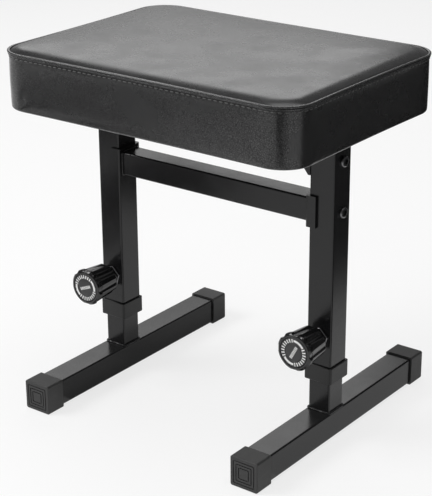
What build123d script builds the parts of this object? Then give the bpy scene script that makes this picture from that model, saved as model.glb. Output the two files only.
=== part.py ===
from build123d import *
import os
from math import cos, pi, sin, sqrt

# Keyboard bench: a padded seat on two telescopic square-tube legs, joined by a crossbar.
# Millimetres, +Z up, -Y towards the knobs, +X from the left leg to the right leg as seen from the knobs.
# The origin is on the floor, in the middle of the four end caps.

# Stance
post_forward = 15.5
sides = {"left": -1, "right": 1}

# Feet: square tubes with a cap pushed over each end
foot_length = 349.0
foot_tube_side = 32.0
foot_tube_wall = 1.5
foot_tube_corner = 2.0
cap_length = 26.0
cap_wall = 2.2
cap_end = 3.0
cap_corner = 2.5
cap_edge = 1.2
cap_fit = 0.1
cap_groove_width = 1.3
cap_groove_depth = 0.8
cap_groove_insets = (4.0, 7.5, 11.0)
cap_groove_corner = 2.0

# Posts: inner tubes welded upright on the feet
post_side = 28.0
post_wall = 1.5
post_corner = 2.0
guide_head = 5.0
guide_skirt = 14.0
guide_wall = 2.0
guide_fit = 0.2
guide_headroom = 12.0
slide_clearance = 0.3

# Uprights: outer tubes that carry the seat
upright_side = 32.0
upright_wall = 1.5
upright_corner = 2.0
collar_bottom = 73.0
collar_height = 20.0
collar_side = 36.4
collar_corner = 2.5
collar_pocket = 5.0
collar_fit = 0.1
collar_edge = 0.8

# Crossbar and the channels on its ends
crossbar_height = 28.0
crossbar_depth = 28.0
crossbar_wall = 1.5
crossbar_corner = 2.0
crossbar_drop = 89.9
channel_height = 36.5
channel_thickness = 3.0
channel_overlap = 10.0
channel_bend = 2.5
channel_clearance = 0.2

# Seat
seat_height = 437.0
seat_width = 401.0
seat_depth = 290.0
seat_corner = 35.0
seat_overhang = 48.5
band_height = 64.5
band_swell = 1.0
side_draw = 1.5
crown_rise = 8.0
crown_power = 8
crown_spread = 0.1
crown_shares = (0.0, 0.035, 0.1, 0.24, 0.45)
hem_round = 2.5
hem_width = 22.0
cover_thickness = 1.2
cover_fit = 0.3
welt_diameter = 2.6
welt_proud = 1.4
welt_fit = 0.2
board_thickness = 12.0
dust_cover_thickness = 0.6
dust_cover_margin = 1.0

# Brackets under the seat
bracket_drop = 49.5
bracket_reach = 38.0
bracket_thickness = 2.5
bracket_toe = 5.0
bracket_bolt_drop = 31.5
bracket_screw_reaches = (10.5, 30.5)

# Fasteners
bolt_diameter = 8.0
bolt_head_diameter = 13.0
bolt_head_height = 4.2
bolt_head_round = 2.6
bolt_socket = 5.0
bolt_socket_depth = 2.4
bolt_tail = 2.0
bolt_clearance = 0.3
thread_clearance = 0.05
nut_flats = 13.0
nut_height = 6.5
screw_diameter = 6.0
screw_head_diameter = 11.0
screw_head_height = 3.2
t_nut_flange_diameter = 18.0
t_nut_flange = 1.4
t_nut_barrel_diameter = 9.0
t_nut_barrel = 9.0
t_nut_fit = 0.1

# Pull pins: a sprung plunger in a hex-based barrel on the front of each upright
knob_level = 128.0
hole_pitch = 25.0
hole_count = 4
hole_diameter = 9.0
nose_diameter = 8.0
nose_chamfer = 1.0
nose_clearance = 0.3
pin_standoff = 0.5
pin_engagement = 5.0
pin_pull = 4.0
pin_flange_diameter = 10.0
pin_flange = 2.5
shaft_diameter = 6.0
barrel_diameter = 16.0
barrel_end_wall = 3.0
hex_flats = 24.0
hex_height = 4.5
hex_turn = 15.0
hex_bevel = 0.7
spring_wire = 1.2
spring_turns = 5
spring_seat = 0.2

# Knobs
knob_gap = 7.5
knob_length = 38.5
knob_rear_radius = 19.0
knob_front_radius = 21.2
knob_rim_radius = 22.5
knob_rim_width = 6.0
knob_groove_width = 1.6
knob_groove_depth = 1.5
knob_chamfer = 2.0
knob_hub = 10.0
knob_screw_thread_diameter = 4.0
knob_screw_thread = 9.0
knob_screw_head_diameter = 11.0
knob_screw_head = 3.5
face_radius = 17.5
face_thickness = 2.0
face_fit = 0.15
flute_count = 8
flute_radius = 7.0
flute_depth_rear = 2.6
flute_depth_rim = 1.6
flute_overrun = 2.0

# Places worked out from the sizes above
post_y = -post_forward
leg_spacing = seat_width - 2 * seat_overhang
foot_level = cap_wall + foot_tube_side / 2
foot_top = cap_wall + foot_tube_side
upright_bottom = collar_bottom + collar_height - collar_pocket
upright_bore = upright_side - 2 * upright_wall
post_bore = post_side - 2 * post_wall
seam_level = seat_height - crown_rise
seat_bottom = seam_level - band_height
seam_room = welt_diameter + 2 * welt_fit
band_top = seam_level - seam_room / 2
board_bottom = seat_bottom + cover_thickness + cover_fit
board_top = board_bottom + board_thickness
upright_top = board_bottom - dust_cover_thickness
bracket_bolt_level = upright_top - bracket_bolt_drop
crossbar_level = upright_top - crossbar_drop
post_top = crossbar_level - bolt_diameter / 2 - guide_headroom - guide_head
crossbar_half = leg_spacing / 2 - upright_side / 2 - channel_clearance - channel_thickness
bolt_hole_radius = bolt_diameter / 2 + bolt_clearance
screw_hole_radius = screw_diameter / 2 + bolt_clearance

# Places along a pull pin, counted outwards from the front face of the upright
post_face_out = -(upright_side - post_side) / 2
nose_out = post_face_out + pin_standoff
flange_out = pin_engagement + nose_clearance
chamber_radius = pin_flange_diameter / 2 + nose_clearance
spring_solid = (spring_turns + 1) * spring_wire
spring_out = flange_out + pin_flange + spring_seat
chamber_depth = flange_out + pin_flange + pin_pull + spring_solid
barrel_out = chamber_depth + barrel_end_wall
knob_rear_out = hex_height + knob_gap
knob_face_out = knob_rear_out + knob_length
knob_bore_out = barrel_out + pin_engagement + 2 * nose_clearance
knob_hub_out = knob_bore_out + knob_hub
shaft_out = knob_hub_out + nose_clearance


def write(piece, node):
    """Label a finished piece and write it as its own file."""
    piece.part.label = node
    export_step(piece.part, f"parts/{node}.step")


def leg_plane(hand, level):
    """A level plane on the centre line of one leg."""
    return Plane(origin=(hand * leg_spacing / 2, post_y, level))


def inward_plane(hand, level):
    """A level plane on a leg's centre line, its x axis pointing towards the other leg."""
    origin = (hand * leg_spacing / 2, post_y, level)
    return Plane(origin=origin, x_dir=(-hand, 0, 0), z_dir=(0, 0, 1))


def side_plane(hand):
    """An upright plane through a leg's centre line, x towards the other leg and y upwards."""
    origin = (hand * leg_spacing / 2, post_y, 0)
    return Plane(origin=origin, x_dir=(-hand, 0, 0), z_dir=(0, hand, 0))


def bolt_plane(hand, level, inwards=0.0):
    """A plane square to a frame bolt, on the outer face of the upright or further in."""
    origin = (hand * (leg_spacing / 2 + upright_side / 2 - inwards), post_y, level)
    return Plane(origin=origin, x_dir=(0, 1, 0), z_dir=(hand, 0, 0))


def pin_plane(hand, out=0.0):
    """A plane square to a pull pin, out from the front face of the upright."""
    origin = (hand * leg_spacing / 2, post_y - upright_side / 2 - out, knob_level)
    return Plane(origin=origin, x_dir=(1, 0, 0), z_dir=(0, -1, 0))


def pin_profile_plane(hand):
    """A plane along a pull pin: x is the radius, y is the distance out from the upright."""
    origin = (hand * leg_spacing / 2, post_y - upright_side / 2, knob_level)
    return Plane(origin=origin, x_dir=(1, 0, 0), z_dir=(0, 0, -1))


def pin_axis(hand):
    """The line that a pull pin slides along and its knob turns about."""
    origin = (hand * leg_spacing / 2, post_y - upright_side / 2, knob_level)
    return Axis(origin, (0, -1, 0))


def tube_section(width, height, wall, corner):
    """The section of a drawn rectangular tube, its bore rounded to suit the wall."""
    with BuildSketch(mode=Mode.PRIVATE) as section:
        RectangleRounded(width, height, corner)
        RectangleRounded(width - 2 * wall, height - 2 * wall, corner - wall, mode=Mode.SUBTRACT)
    return section.sketch


def foot_tube(hand):
    """The square tube of one foot, open at both ends inside its caps."""
    tube_length = foot_length - 2 * cap_end
    origin = (hand * leg_spacing / 2, -tube_length / 2, foot_level)
    with BuildPart() as tube:
        with BuildSketch(Plane(origin=origin, x_dir=(1, 0, 0), z_dir=(0, 1, 0))):
            add(tube_section(foot_tube_side, foot_tube_side, foot_tube_wall, foot_tube_corner))
        extrude(amount=tube_length)
    return tube


def foot_cap(hand, toward):
    """A closed sleeve over one end of a foot, with nested square grooves in its end face."""
    outside = foot_tube_side + 2 * cap_wall
    pocket = foot_tube_side + 2 * cap_fit
    origin = (hand * leg_spacing / 2, toward * foot_length / 2, foot_level)
    end = Plane(origin=origin, x_dir=(1, 0, 0), z_dir=(0, toward, 0))
    with BuildPart() as cap:
        with BuildSketch(end):
            RectangleRounded(outside, outside, cap_corner)
        extrude(amount=-cap_length)
        end_face = cap.faces().sort_by(Axis((0, 0, 0), (0, toward, 0)))[-1]
        fillet(end_face.edges(), radius=cap_edge)
        with BuildSketch(end.offset(-cap_end)):
            RectangleRounded(pocket, pocket, foot_tube_corner)
        extrude(amount=-cap_length, mode=Mode.SUBTRACT)
        for inset in cap_groove_insets:
            ring = outside - 2 * inset
            with BuildSketch(end):
                RectangleRounded(ring, ring, cap_groove_corner)
                offset(amount=-cap_groove_width, mode=Mode.SUBTRACT)
            extrude(amount=-cap_groove_depth, mode=Mode.SUBTRACT)
    return cap


def post(hand):
    """An inner tube standing on its foot, with a row of pin holes in its front wall."""
    with BuildPart() as tube:
        with BuildSketch(leg_plane(hand, foot_top)):
            add(tube_section(post_side, post_side, post_wall, post_corner))
        extrude(amount=post_top - foot_top)
        with BuildSketch(pin_plane(hand)):
            with Locations(*[(0, hole * hole_pitch) for hole in range(hole_count)]):
                Circle(hole_diameter / 2)
        extrude(amount=-upright_side / 2, mode=Mode.SUBTRACT)
    return tube


def post_guide(hand):
    """A plug in the top of a post, with a hollow skirt and a head that fills the upright."""
    head = upright_bore - 2 * slide_clearance
    skirt = post_bore - 2 * guide_fit
    with BuildPart() as guide:
        with BuildSketch(leg_plane(hand, post_top)):
            RectangleRounded(head, head, upright_corner - upright_wall)
        extrude(amount=guide_head)
        with BuildSketch(leg_plane(hand, post_top)):
            RectangleRounded(skirt, skirt, post_corner - post_wall)
            offset(amount=-guide_wall, mode=Mode.SUBTRACT)
        extrude(amount=-guide_skirt)
    return guide


def upright(hand):
    """An outer tube with bolt holes across it and one pin hole in its front wall."""
    with BuildPart() as tube:
        with BuildSketch(leg_plane(hand, upright_bottom)):
            add(tube_section(upright_side, upright_side, upright_wall, upright_corner))
        extrude(amount=upright_top - upright_bottom)
        for level in (crossbar_level, bracket_bolt_level):
            with BuildSketch(bolt_plane(hand, level)):
                Circle(bolt_hole_radius)
            extrude(amount=-upright_side, mode=Mode.SUBTRACT)
        with BuildSketch(pin_plane(hand)):
            Circle(nose_diameter / 2 + nose_clearance)
        extrude(amount=-upright_side / 2, mode=Mode.SUBTRACT)
    return tube


def collar(hand):
    """A moulded collar that the upright stands in, bored to slide on the post."""
    bore = post_side + 2 * slide_clearance
    pocket = upright_side + 2 * collar_fit
    with BuildPart() as ring:
        with BuildSketch(leg_plane(hand, collar_bottom)):
            RectangleRounded(collar_side, collar_side, collar_corner)
        extrude(amount=collar_height)
        ends = ring.faces().filter_by(Axis.Z)
        fillet(ends.edges(), radius=collar_edge)
        with BuildSketch(leg_plane(hand, collar_bottom)):
            RectangleRounded(bore, bore, post_corner)
        extrude(amount=collar_height, mode=Mode.SUBTRACT)
        with BuildSketch(leg_plane(hand, upright_bottom)):
            RectangleRounded(pocket, pocket, upright_corner)
        extrude(amount=collar_pocket, mode=Mode.SUBTRACT)
    return ring


def crossbar_channel(hand):
    """A folded channel round the inner face of an upright, welded to the crossbar's end."""
    hug = upright_side / 2 + channel_clearance
    outside = hug + channel_thickness
    lip = upright_side / 2 - channel_overlap
    with BuildPart() as channel:
        with BuildSketch(inward_plane(hand, crossbar_level - channel_height / 2)):
            with Locations(((lip + outside) / 2, 0)):
                Rectangle(outside - lip, 2 * outside)
            with Locations((hug / 2, 0)):
                Rectangle(hug, 2 * hug, mode=Mode.SUBTRACT)
        extrude(amount=channel_height)
        inwards = Axis((0, 0, 0), (-hand, 0, 0))
        bends = channel.edges().filter_by(Axis.Z).group_by(inwards)[-1]
        fillet(bends, radius=channel_bend)
        with BuildSketch(bolt_plane(hand, crossbar_level, upright_side)):
            Circle(bolt_hole_radius)
        extrude(amount=-2 * channel_thickness, mode=Mode.SUBTRACT)
    return channel


def seat_bracket(hand):
    """A pressed angle bracket with two gusset sides, from an upright to the seat board."""
    back = upright_side / 2
    bottom = upright_top - bracket_drop
    inner_back = back + bracket_thickness
    inner_top = upright_top - bracket_thickness
    with BuildPart() as bracket:
        with BuildSketch(side_plane(hand)):
            with BuildLine():
                Polyline(
                    (back, bottom),
                    (inner_back, bottom),
                    (back + bracket_reach, upright_top - bracket_toe),
                    (back + bracket_reach, upright_top),
                    (back, upright_top),
                    close=True,
                )
            make_face()
        extrude(amount=upright_side / 2, both=True)
        with BuildSketch(side_plane(hand)):
            with BuildLine():
                Polyline(
                    (inner_back, bottom - bracket_thickness),
                    (back + 2 * bracket_reach, bottom - bracket_thickness),
                    (back + 2 * bracket_reach, inner_top),
                    (inner_back, inner_top),
                    close=True,
                )
            make_face()
        extrude(amount=upright_side / 2 - bracket_thickness, both=True, mode=Mode.SUBTRACT)
        with BuildSketch(bolt_plane(hand, bracket_bolt_level, upright_side)):
            Circle(bolt_hole_radius)
        extrude(amount=-2 * bracket_thickness, mode=Mode.SUBTRACT)
        with BuildSketch(inward_plane(hand, upright_top)):
            with Locations(*screw_places()):
                Circle(screw_hole_radius)
        extrude(amount=-2 * bracket_thickness, mode=Mode.SUBTRACT)
    return bracket


def seat_plane(level):
    """A level plane in the middle of the seat, which is centred over the posts."""
    return Plane(origin=(0, post_y, level))


def seat_edge(grow, radius):
    """The seat's plan as a line: round corners, tangent to sides drawn in between them."""
    side_x = seat_width / 2 + grow
    side_y = seat_depth / 2 + grow
    run_x = side_x - radius
    run_y = side_y - radius
    bend_x = radius * 2 * side_draw / (run_x ** 2 + side_draw ** 2)
    bend_y = radius * 2 * side_draw / (run_y ** 2 + side_draw ** 2)
    long_x, long_y = run_x * (1 - bend_x), side_y - side_draw * bend_x
    short_x, short_y = side_x - side_draw * bend_y, run_y * (1 - bend_y)
    corner_x = run_x + radius * sqrt(0.5)
    corner_y = run_y + radius * sqrt(0.5)
    with BuildLine(mode=Mode.PRIVATE) as edge:
        ThreePointArc((-long_x, -long_y), (0, side_draw - side_y), (long_x, -long_y))
        ThreePointArc((long_x, -long_y), (corner_x, -corner_y), (short_x, -short_y))
        ThreePointArc((short_x, -short_y), (side_x - side_draw, 0), (short_x, short_y))
        ThreePointArc((short_x, short_y), (corner_x, corner_y), (long_x, long_y))
        ThreePointArc((long_x, long_y), (0, side_y - side_draw), (-long_x, long_y))
        ThreePointArc((-long_x, long_y), (-corner_x, corner_y), (-short_x, short_y))
        ThreePointArc((-short_x, short_y), (side_draw - side_x, 0), (-short_x, -short_y))
        ThreePointArc((-short_x, -short_y), (-corner_x, -corner_y), (-long_x, -long_y))
    return edge.line


def seat_outline(grow, radius):
    """The face inside that line."""
    with BuildSketch(mode=Mode.PRIVATE) as outline:
        with BuildLine():
            add(seat_edge(grow, radius))
        make_face()
    return outline.sketch


def crown_height(share):
    """How far the top panel has risen, part of the way in from the seam: fast, then flat."""
    return crown_rise * (1 - (1 - share) ** crown_power)


def cushion(inset):
    """The whole cushion, drawn in by an inset: swelling sides under a crowned top."""
    bottom = seat_bottom + inset
    seam = seam_level - inset
    corner = seat_corner - inset
    with BuildPart() as form:
        for level, swell in ((bottom, 0), ((bottom + seam) / 2, band_swell), (seam, 0)):
            with BuildSketch(seat_plane(level)):
                add(seat_outline(swell - inset, corner + swell))
        loft()
        fillet(form.faces().sort_by(Axis.Z)[0].edges(), radius=hem_round - inset)
        for share in crown_shares:
            step = share * seat_depth / 2
            with BuildSketch(seat_plane(seam + crown_height(share))):
                add(seat_outline(-inset - step, corner + crown_spread * step))
        loft()
    return form.part


def seam_run():
    """The line of the piping cord round the seam, a little proud of the band."""
    grow = welt_proud - welt_diameter / 2
    return seat_plane(seam_level).location * seat_edge(grow, seat_corner + grow)


def welt():
    """The piping cord."""
    edge = seam_run()
    with BuildPart() as cord:
        add(edge)
        with BuildSketch(Plane(origin=edge @ 0, z_dir=edge % 0)):
            Circle(welt_diameter / 2)
        sweep()
    return cord


def seam_groove():
    """The square channel between the panel and the band that the cord lies in."""
    edge = seam_run()
    with BuildPart() as groove:
        add(edge)
        with BuildSketch(Plane(origin=edge @ 0, x_dir=(0, 0, 1), z_dir=edge % 0)):
            Rectangle(seam_room, seam_room)
        sweep()
    return groove.part


def bolt_places():
    """Each frame bolt's hand and level, with the plate that it passes behind the upright."""
    for hand in sides.values():
        yield hand, crossbar_level, channel_clearance + channel_thickness
        yield hand, bracket_bolt_level, bracket_thickness


def screw_places():
    """The level spots, in each leg's inward plane, of the screws up into the board."""
    return [(upright_side / 2 + reach, 0) for reach in bracket_screw_reaches]


def pin_housing(hand):
    """A hex base and a barrel in one, hollow for the spring, open towards the upright."""
    with BuildPart() as housing:
        with BuildSketch(pin_plane(hand)):
            RegularPolygon(hex_flats / 2, 6, major_radius=False, rotation=hex_turn)
        extrude(amount=hex_height)
        outer_face = housing.faces().sort_by(Axis.Y)[0]
        chamfer(outer_face.edges(), length=hex_bevel)
        with BuildSketch(pin_plane(hand)):
            Circle(barrel_diameter / 2)
        extrude(amount=barrel_out)
        with BuildSketch(pin_plane(hand)):
            Circle(chamber_radius)
        extrude(amount=chamber_depth, mode=Mode.SUBTRACT)
        with BuildSketch(pin_plane(hand)):
            Circle(shaft_diameter / 2 + nose_clearance)
        extrude(amount=barrel_out, mode=Mode.SUBTRACT)
    return housing


def pin(hand):
    """A turned plunger: a nose for the post's holes, a flange for the spring, and a shaft."""
    nose = nose_diameter / 2
    flange = pin_flange_diameter / 2
    shaft = shaft_diameter / 2
    tapped = shaft_out - knob_screw_thread
    thread = knob_screw_thread_diameter / 2 + thread_clearance
    with BuildPart() as plunger:
        with BuildSketch(pin_profile_plane(hand)):
            with BuildLine():
                Polyline(
                    (0, nose_out),
                    (nose - nose_chamfer, nose_out),
                    (nose, nose_out + nose_chamfer),
                    (nose, flange_out),
                    (flange, flange_out),
                    (flange, flange_out + pin_flange),
                    (shaft, flange_out + pin_flange),
                    (shaft, shaft_out),
                    (thread, shaft_out),
                    (thread, tapped),
                    (0, tapped),
                    close=True,
                )
            make_face()
        revolve(axis=pin_axis(hand))
    return plunger


def spring_path(hand):
    """A helix of half turns, each a pair of arcs that meet at its middle, a little further out."""
    start = spring_out + spring_wire / 2
    rise = chamber_depth - spring_seat - spring_wire / 2 - start
    radius = (shaft_diameter / 2 + chamber_radius) / 2
    half_turns = 2 * spring_turns
    step = rise / half_turns
    slope = step / pi
    lift = slope * step / 2
    middle_radius = (sqrt(lift ** 2 + radius ** 2 * (radius ** 2 + step ** 2 / 4)) - lift) / radius
    base = pin_plane(hand, start)

    def place(around, angle, out):
        return base.from_local_coords(Vector(around * cos(angle), around * sin(angle), out))

    def heading(angle):
        return place(radius, angle + pi / 2, slope) - place(0, 0, 0)

    with BuildLine() as path:
        for turn in range(half_turns):
            angle = turn * pi
            begin = place(radius, angle, step * turn)
            middle = place(middle_radius, angle + pi / 2, step * (turn + 0.5))
            end = place(radius, angle + pi, step * (turn + 1))
            first = TangentArc(begin, middle, tangent=heading(angle))
            TangentArc(middle, end, tangent=first % 1)
    return path.line


def pin_spring(hand):
    """A compression spring between the plunger's flange and the barrel's end wall."""
    path = spring_path(hand)
    with BuildPart() as spring:
        add(path)
        with BuildSketch(Plane(origin=path @ 0, z_dir=path % 0)):
            Circle(spring_wire / 2)
        sweep()
    return spring


def knob(hand):
    """A tapered, fluted moulding with a scalloped rim, hollowed behind to clear the barrel."""
    rim_out = knob_face_out - knob_rim_width
    groove_out = rim_out - knob_groove_width
    bore = barrel_diameter / 2 + 2 * nose_clearance
    recess = knob_face_out - face_thickness
    with BuildPart() as moulding:
        with BuildSketch(pin_profile_plane(hand)):
            with BuildLine():
                Polyline(
                    (0, knob_rear_out),
                    (knob_rear_radius - knob_chamfer, knob_rear_out),
                    (knob_rear_radius, knob_rear_out + knob_chamfer),
                    (knob_front_radius, groove_out),
                    (knob_front_radius - knob_groove_depth, groove_out),
                    (knob_front_radius - knob_groove_depth, rim_out),
                    (knob_rim_radius, rim_out),
                    (knob_rim_radius, knob_face_out - knob_chamfer),
                    (knob_rim_radius - knob_chamfer, knob_face_out),
                    (0, knob_face_out),
                    close=True,
                )
            make_face()
        revolve(axis=pin_axis(hand))
        rear_reach = knob_rear_radius - flute_depth_rear + flute_radius
        rim_reach = knob_rim_radius - flute_depth_rim + flute_radius
        for flute in range(flute_count):
            turn = 360 / flute_count * flute
            with BuildSketch(pin_plane(hand, knob_rear_out - flute_overrun)):
                with PolarLocations(rear_reach, 1, start_angle=turn):
                    Circle(flute_radius)
            with BuildSketch(pin_plane(hand, knob_face_out + flute_overrun)):
                with PolarLocations(rim_reach, 1, start_angle=turn):
                    Circle(flute_radius)
            loft(mode=Mode.SUBTRACT)
        for start, radius, end in (
            (knob_rear_out, bore, knob_bore_out),
            (knob_rear_out, shaft_diameter / 2 + nose_clearance, knob_face_out),
            (knob_hub_out, knob_screw_head_diameter / 2 + nose_clearance, knob_face_out),
            (recess, face_radius + face_fit, knob_face_out),
        ):
            with BuildSketch(pin_plane(hand, start)):
                Circle(radius)
            extrude(amount=end - start, mode=Mode.SUBTRACT)
    return moulding


def knob_screw(hand):
    """A pan-head screw in the end of the plunger, which keeps the knob on its shaft."""
    with BuildPart() as screw:
        with BuildSketch(pin_plane(hand, shaft_out)):
            Circle(knob_screw_head_diameter / 2)
        extrude(amount=knob_screw_head)
        with BuildSketch(pin_plane(hand, shaft_out)):
            Circle(knob_screw_thread_diameter / 2)
        extrude(amount=-knob_screw_thread + bolt_clearance)
    return screw


def knob_face(hand):
    """The round insert that closes the front of a knob."""
    with BuildPart() as disc:
        with BuildSketch(pin_plane(hand, knob_face_out - face_thickness)):
            Circle(face_radius)
        extrude(amount=face_thickness)
    return disc


os.makedirs("parts", exist_ok=True)

# Feet, posts, uprights and pull pins, one of each for both legs
for side, hand in sides.items():
    write(foot_tube(hand), f"{side}_foot_tube")
    write(foot_cap(hand, -1), f"{side}_front_cap")
    write(foot_cap(hand, 1), f"{side}_rear_cap")
    write(post(hand), f"{side}_post")
    write(post_guide(hand), f"{side}_post_guide")
    write(upright(hand), f"{side}_upright")
    write(collar(hand), f"{side}_collar")
    write(crossbar_channel(hand), f"{side}_crossbar_channel")
    write(seat_bracket(hand), f"{side}_seat_bracket")
    write(pin_housing(hand), f"{side}_pin_housing")
    write(pin(hand), f"{side}_pin")
    write(pin_spring(hand), f"{side}_pin_spring")
    write(knob(hand), f"{side}_knob")
    write(knob_screw(hand), f"{side}_knob_screw")
    write(knob_face(hand), f"{side}_knob_face")

# Crossbar between the two channels
with BuildPart() as crossbar:
    start = Plane(origin=(-crossbar_half, post_y, crossbar_level), x_dir=(0, 1, 0), z_dir=(1, 0, 0))
    with BuildSketch(start):
        add(tube_section(crossbar_depth, crossbar_height, crossbar_wall, crossbar_corner))
    extrude(amount=2 * crossbar_half)
write(crossbar, "crossbar")

# Button-head bolts with hex sockets, and the nuts on their inner ends
with BuildPart() as frame_bolts:
    for hand, level, plate in bolt_places():
        with BuildSketch(bolt_plane(hand, level)):
            Circle(bolt_head_diameter / 2)
        extrude(amount=bolt_head_height)
        with BuildSketch(bolt_plane(hand, level)):
            Circle(bolt_diameter / 2)
        extrude(amount=-(upright_side + plate + nut_height + bolt_tail))
    rims = frame_bolts.edges().filter_by(GeomType.CIRCLE).group_by(Axis.X)
    fillet(rims[0] + rims[-1], radius=bolt_head_round)
    for hand, level, plate in bolt_places():
        with BuildSketch(bolt_plane(hand, level, -bolt_head_height)):
            RegularPolygon(bolt_socket / 2, 6, major_radius=False)
        extrude(amount=-bolt_socket_depth, mode=Mode.SUBTRACT)
write(frame_bolts, "frame_bolts")

with BuildPart() as frame_nuts:
    for hand, level, plate in bolt_places():
        with BuildSketch(bolt_plane(hand, level, upright_side + plate)):
            RegularPolygon(nut_flats / 2, 6, major_radius=False)
            Circle(bolt_diameter / 2 + thread_clearance, mode=Mode.SUBTRACT)
        extrude(amount=-nut_height)
write(frame_nuts, "frame_nuts")

# Screws up through the brackets, and the flanged nuts sunk in the top of the board
with BuildPart() as seat_bracket_screws:
    for hand in sides.values():
        with BuildSketch(inward_plane(hand, upright_top - bracket_thickness)):
            with Locations(*screw_places()):
                Circle(screw_head_diameter / 2)
        extrude(amount=-screw_head_height)
        with BuildSketch(inward_plane(hand, upright_top - bracket_thickness)):
            with Locations(*screw_places()):
                Circle(screw_diameter / 2)
        extrude(amount=board_top - t_nut_flange - upright_top + bracket_thickness)
write(seat_bracket_screws, "seat_bracket_screws")

with BuildPart() as seat_t_nuts:
    for hand in sides.values():
        with BuildSketch(inward_plane(hand, board_top)):
            with Locations(*screw_places()):
                Circle(t_nut_flange_diameter / 2)
        extrude(amount=-t_nut_flange)
        with BuildSketch(inward_plane(hand, board_top)):
            with Locations(*screw_places()):
                Circle(t_nut_barrel_diameter / 2)
        extrude(amount=-t_nut_barrel)
        with BuildSketch(inward_plane(hand, board_top)):
            with Locations(*screw_places()):
                Circle(screw_diameter / 2 + thread_clearance)
        extrude(amount=-t_nut_barrel, mode=Mode.SUBTRACT)
write(seat_t_nuts, "seat_t_nuts")

# Board, with a stepped hole for each flanged nut, and the foam on it
stuffing = cushion(cover_thickness + cover_fit)

with BuildPart() as seat_board:
    add(stuffing)
    split(bisect_by=Plane.XY.offset(board_top), keep=Keep.BOTTOM)
    for hand in sides.values():
        with BuildSketch(inward_plane(hand, board_top)):
            with Locations(*screw_places()):
                Circle(t_nut_flange_diameter / 2 + t_nut_fit)
        extrude(amount=-t_nut_flange, mode=Mode.SUBTRACT)
        with BuildSketch(inward_plane(hand, board_top)):
            with Locations(*screw_places()):
                Circle(t_nut_barrel_diameter / 2 + t_nut_fit)
        extrude(amount=-board_thickness, mode=Mode.SUBTRACT)
write(seat_board, "seat_board")

with BuildPart() as seat_foam:
    add(stuffing)
    split(bisect_by=Plane.XY.offset(board_top), keep=Keep.TOP)
write(seat_foam, "seat_foam")

# Thin cloth over the underside of the board, inside the turned-under hem
with BuildPart() as seat_dust_cover:
    with BuildSketch(seat_plane(upright_top)):
        add(seat_outline(-hem_width - dust_cover_margin, seat_corner))
    extrude(amount=dust_cover_thickness)
    for hand in sides.values():
        with BuildSketch(inward_plane(hand, upright_top)):
            with Locations(*screw_places()):
                Circle(screw_hole_radius)
        extrude(amount=dust_cover_thickness, mode=Mode.SUBTRACT)
write(seat_dust_cover, "seat_dust_cover")

# Cover: a crowned top panel sewn to a side band, with a piping cord in the seam
cover_outside = cushion(0)
cover_inside = cushion(cover_thickness)
seam_channel = seam_groove()
write(welt(), "seat_welt")

with BuildPart() as seat_top_panel:
    add(cover_outside)
    add(cover_inside, mode=Mode.SUBTRACT)
    split(bisect_by=Plane.XY.offset(band_top), keep=Keep.TOP)
    add(seam_channel, mode=Mode.SUBTRACT)
write(seat_top_panel, "seat_top_panel")

# The band's hem turns under the board
with BuildPart() as seat_side_band:
    add(cover_outside)
    add(cover_inside, mode=Mode.SUBTRACT)
    with BuildSketch(seat_plane(seat_bottom)):
        add(seat_outline(-hem_width, seat_corner))
    extrude(amount=cover_thickness, mode=Mode.SUBTRACT)
    split(bisect_by=Plane.XY.offset(band_top), keep=Keep.BOTTOM)
    add(seam_channel, mode=Mode.SUBTRACT)
write(seat_side_band, "seat_side_band")
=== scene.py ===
# %% [markdown]
# # Keyboard bench
# A padded bench for a musician: a vinyl cushion on two telescopic square-tube legs that a crossbar joins.
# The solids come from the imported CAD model, in metres, with the floor at zero height and the knobs at -Y.
# This lesson keeps the tubes and fasteners as they are, gives them finishes made of shader nodes, and
# rebuilds what CAD shows too plainly: the cushion with its piping and stitches, the knobs, their springs
# and the weld beads.

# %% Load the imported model
from math import cos, pi, sin

import bpy
import numpy as np
from mathutils import Matrix, Vector


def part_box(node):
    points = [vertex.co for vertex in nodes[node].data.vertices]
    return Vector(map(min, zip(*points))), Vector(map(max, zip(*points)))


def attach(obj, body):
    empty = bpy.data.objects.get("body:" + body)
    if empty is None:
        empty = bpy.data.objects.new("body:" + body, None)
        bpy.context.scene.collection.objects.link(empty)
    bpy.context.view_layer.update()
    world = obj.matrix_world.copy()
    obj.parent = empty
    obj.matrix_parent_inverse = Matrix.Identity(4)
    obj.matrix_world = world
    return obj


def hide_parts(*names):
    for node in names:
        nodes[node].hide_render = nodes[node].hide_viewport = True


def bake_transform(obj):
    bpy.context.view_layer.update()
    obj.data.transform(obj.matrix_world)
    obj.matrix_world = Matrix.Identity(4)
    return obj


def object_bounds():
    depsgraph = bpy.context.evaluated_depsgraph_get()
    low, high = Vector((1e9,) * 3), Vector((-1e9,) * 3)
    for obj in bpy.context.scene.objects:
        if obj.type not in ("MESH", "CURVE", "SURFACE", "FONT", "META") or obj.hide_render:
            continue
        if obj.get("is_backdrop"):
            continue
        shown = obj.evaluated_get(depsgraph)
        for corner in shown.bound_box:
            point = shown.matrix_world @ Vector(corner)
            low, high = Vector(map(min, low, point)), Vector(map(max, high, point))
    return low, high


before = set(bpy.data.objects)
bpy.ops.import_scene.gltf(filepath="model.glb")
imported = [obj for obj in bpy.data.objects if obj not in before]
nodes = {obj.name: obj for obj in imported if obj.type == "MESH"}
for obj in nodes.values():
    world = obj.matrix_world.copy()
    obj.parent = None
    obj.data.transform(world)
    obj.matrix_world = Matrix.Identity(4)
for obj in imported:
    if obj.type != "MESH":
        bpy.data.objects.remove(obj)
cad_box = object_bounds()
scene = bpy.context.scene
scene.view_settings.view_transform = "Standard"
MM = 0.001
print("solids loaded:", len(nodes))

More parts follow.
